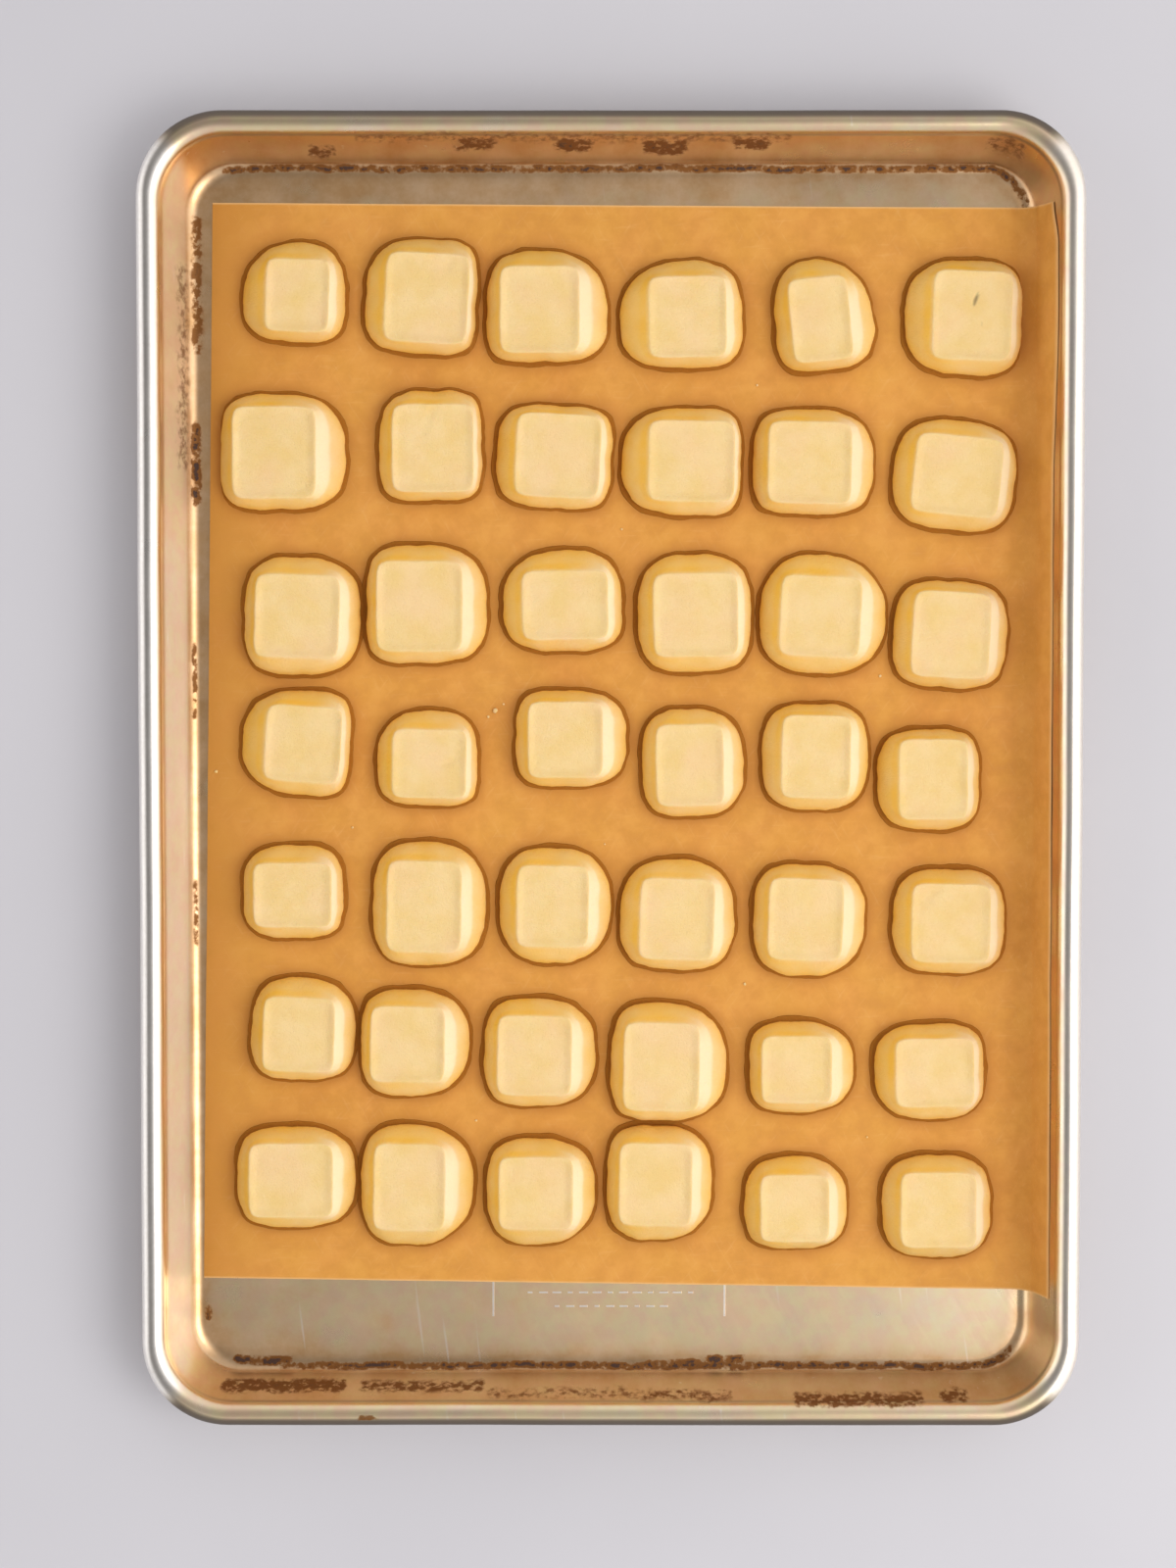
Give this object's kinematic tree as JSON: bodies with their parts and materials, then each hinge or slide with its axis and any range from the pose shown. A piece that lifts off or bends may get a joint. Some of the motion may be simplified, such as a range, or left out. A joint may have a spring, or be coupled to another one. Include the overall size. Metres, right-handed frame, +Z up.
{
  "type": "tray of shortbread cookies",
  "caption": "Rimmed aluminium baking tray lined with brown parchment, holding rows of small square shortbread cookies laid out to bake, cool and carry.",
  "frame": {"origin": "middle of the tray's underside, in the plane that it rests on", "axes": "+Z up; +Y along the tray's long side, towards the first row of biscuits; +X along the short side, towards the curled-up edge of the parchment"},
  "size_m": [0.33, 0.46, 0.025],
  "materials": {
    "tray": "Bare aluminium dulled by use, with brown baked-on marks on the walls",
    "parchment": "Matt unbleached brown baking parchment with faint fibres",
    "shortbread": "Matt pale golden shortbread, sandy and dry, a little darker at the sides"
  },
  "bodies": {
    "root": {"tray": "tray", "parchment": "parchment", "biscuit_r1_c1": "shortbread", "biscuit_r1_c2": "shortbread", "biscuit_r1_c3": "shortbread", "biscuit_r1_c4": "shortbread", "biscuit_r1_c5": "shortbread", "biscuit_r1_c6": "shortbread", "biscuit_r2_c1": "shortbread", "biscuit_r2_c2": "shortbread", "biscuit_r2_c3": "shortbread", "biscuit_r2_c4": "shortbread", "biscuit_r2_c5": "shortbread", "biscuit_r2_c6": "shortbread", "biscuit_r3_c1": "shortbread", "biscuit_r3_c2": "shortbread", "biscuit_r3_c3": "shortbread", "biscuit_r3_c4": "shortbread", "biscuit_r3_c5": "shortbread", "biscuit_r3_c6": "shortbread", "biscuit_r4_c1": "shortbread", "biscuit_r4_c2": "shortbread", "biscuit_r4_c3": "shortbread", "biscuit_r4_c4": "shortbread", "biscuit_r4_c5": "shortbread", "biscuit_r4_c6": "shortbread", "biscuit_r5_c1": "shortbread", "biscuit_r5_c2": "shortbread", "biscuit_r5_c3": "shortbread", "biscuit_r5_c4": "shortbread", "biscuit_r5_c5": "shortbread", "biscuit_r5_c6": "shortbread", "biscuit_r6_c1": "shortbread", "biscuit_r6_c2": "shortbread", "biscuit_r6_c3": "shortbread", "biscuit_r6_c4": "shortbread", "biscuit_r6_c5": "shortbread", "biscuit_r6_c6": "shortbread", "biscuit_r7_c1": "shortbread", "biscuit_r7_c2": "shortbread", "biscuit_r7_c3": "shortbread", "biscuit_r7_c4": "shortbread", "biscuit_r7_c5": "shortbread", "biscuit_r7_c6": "shortbread"}
  },
  "joints": []
}
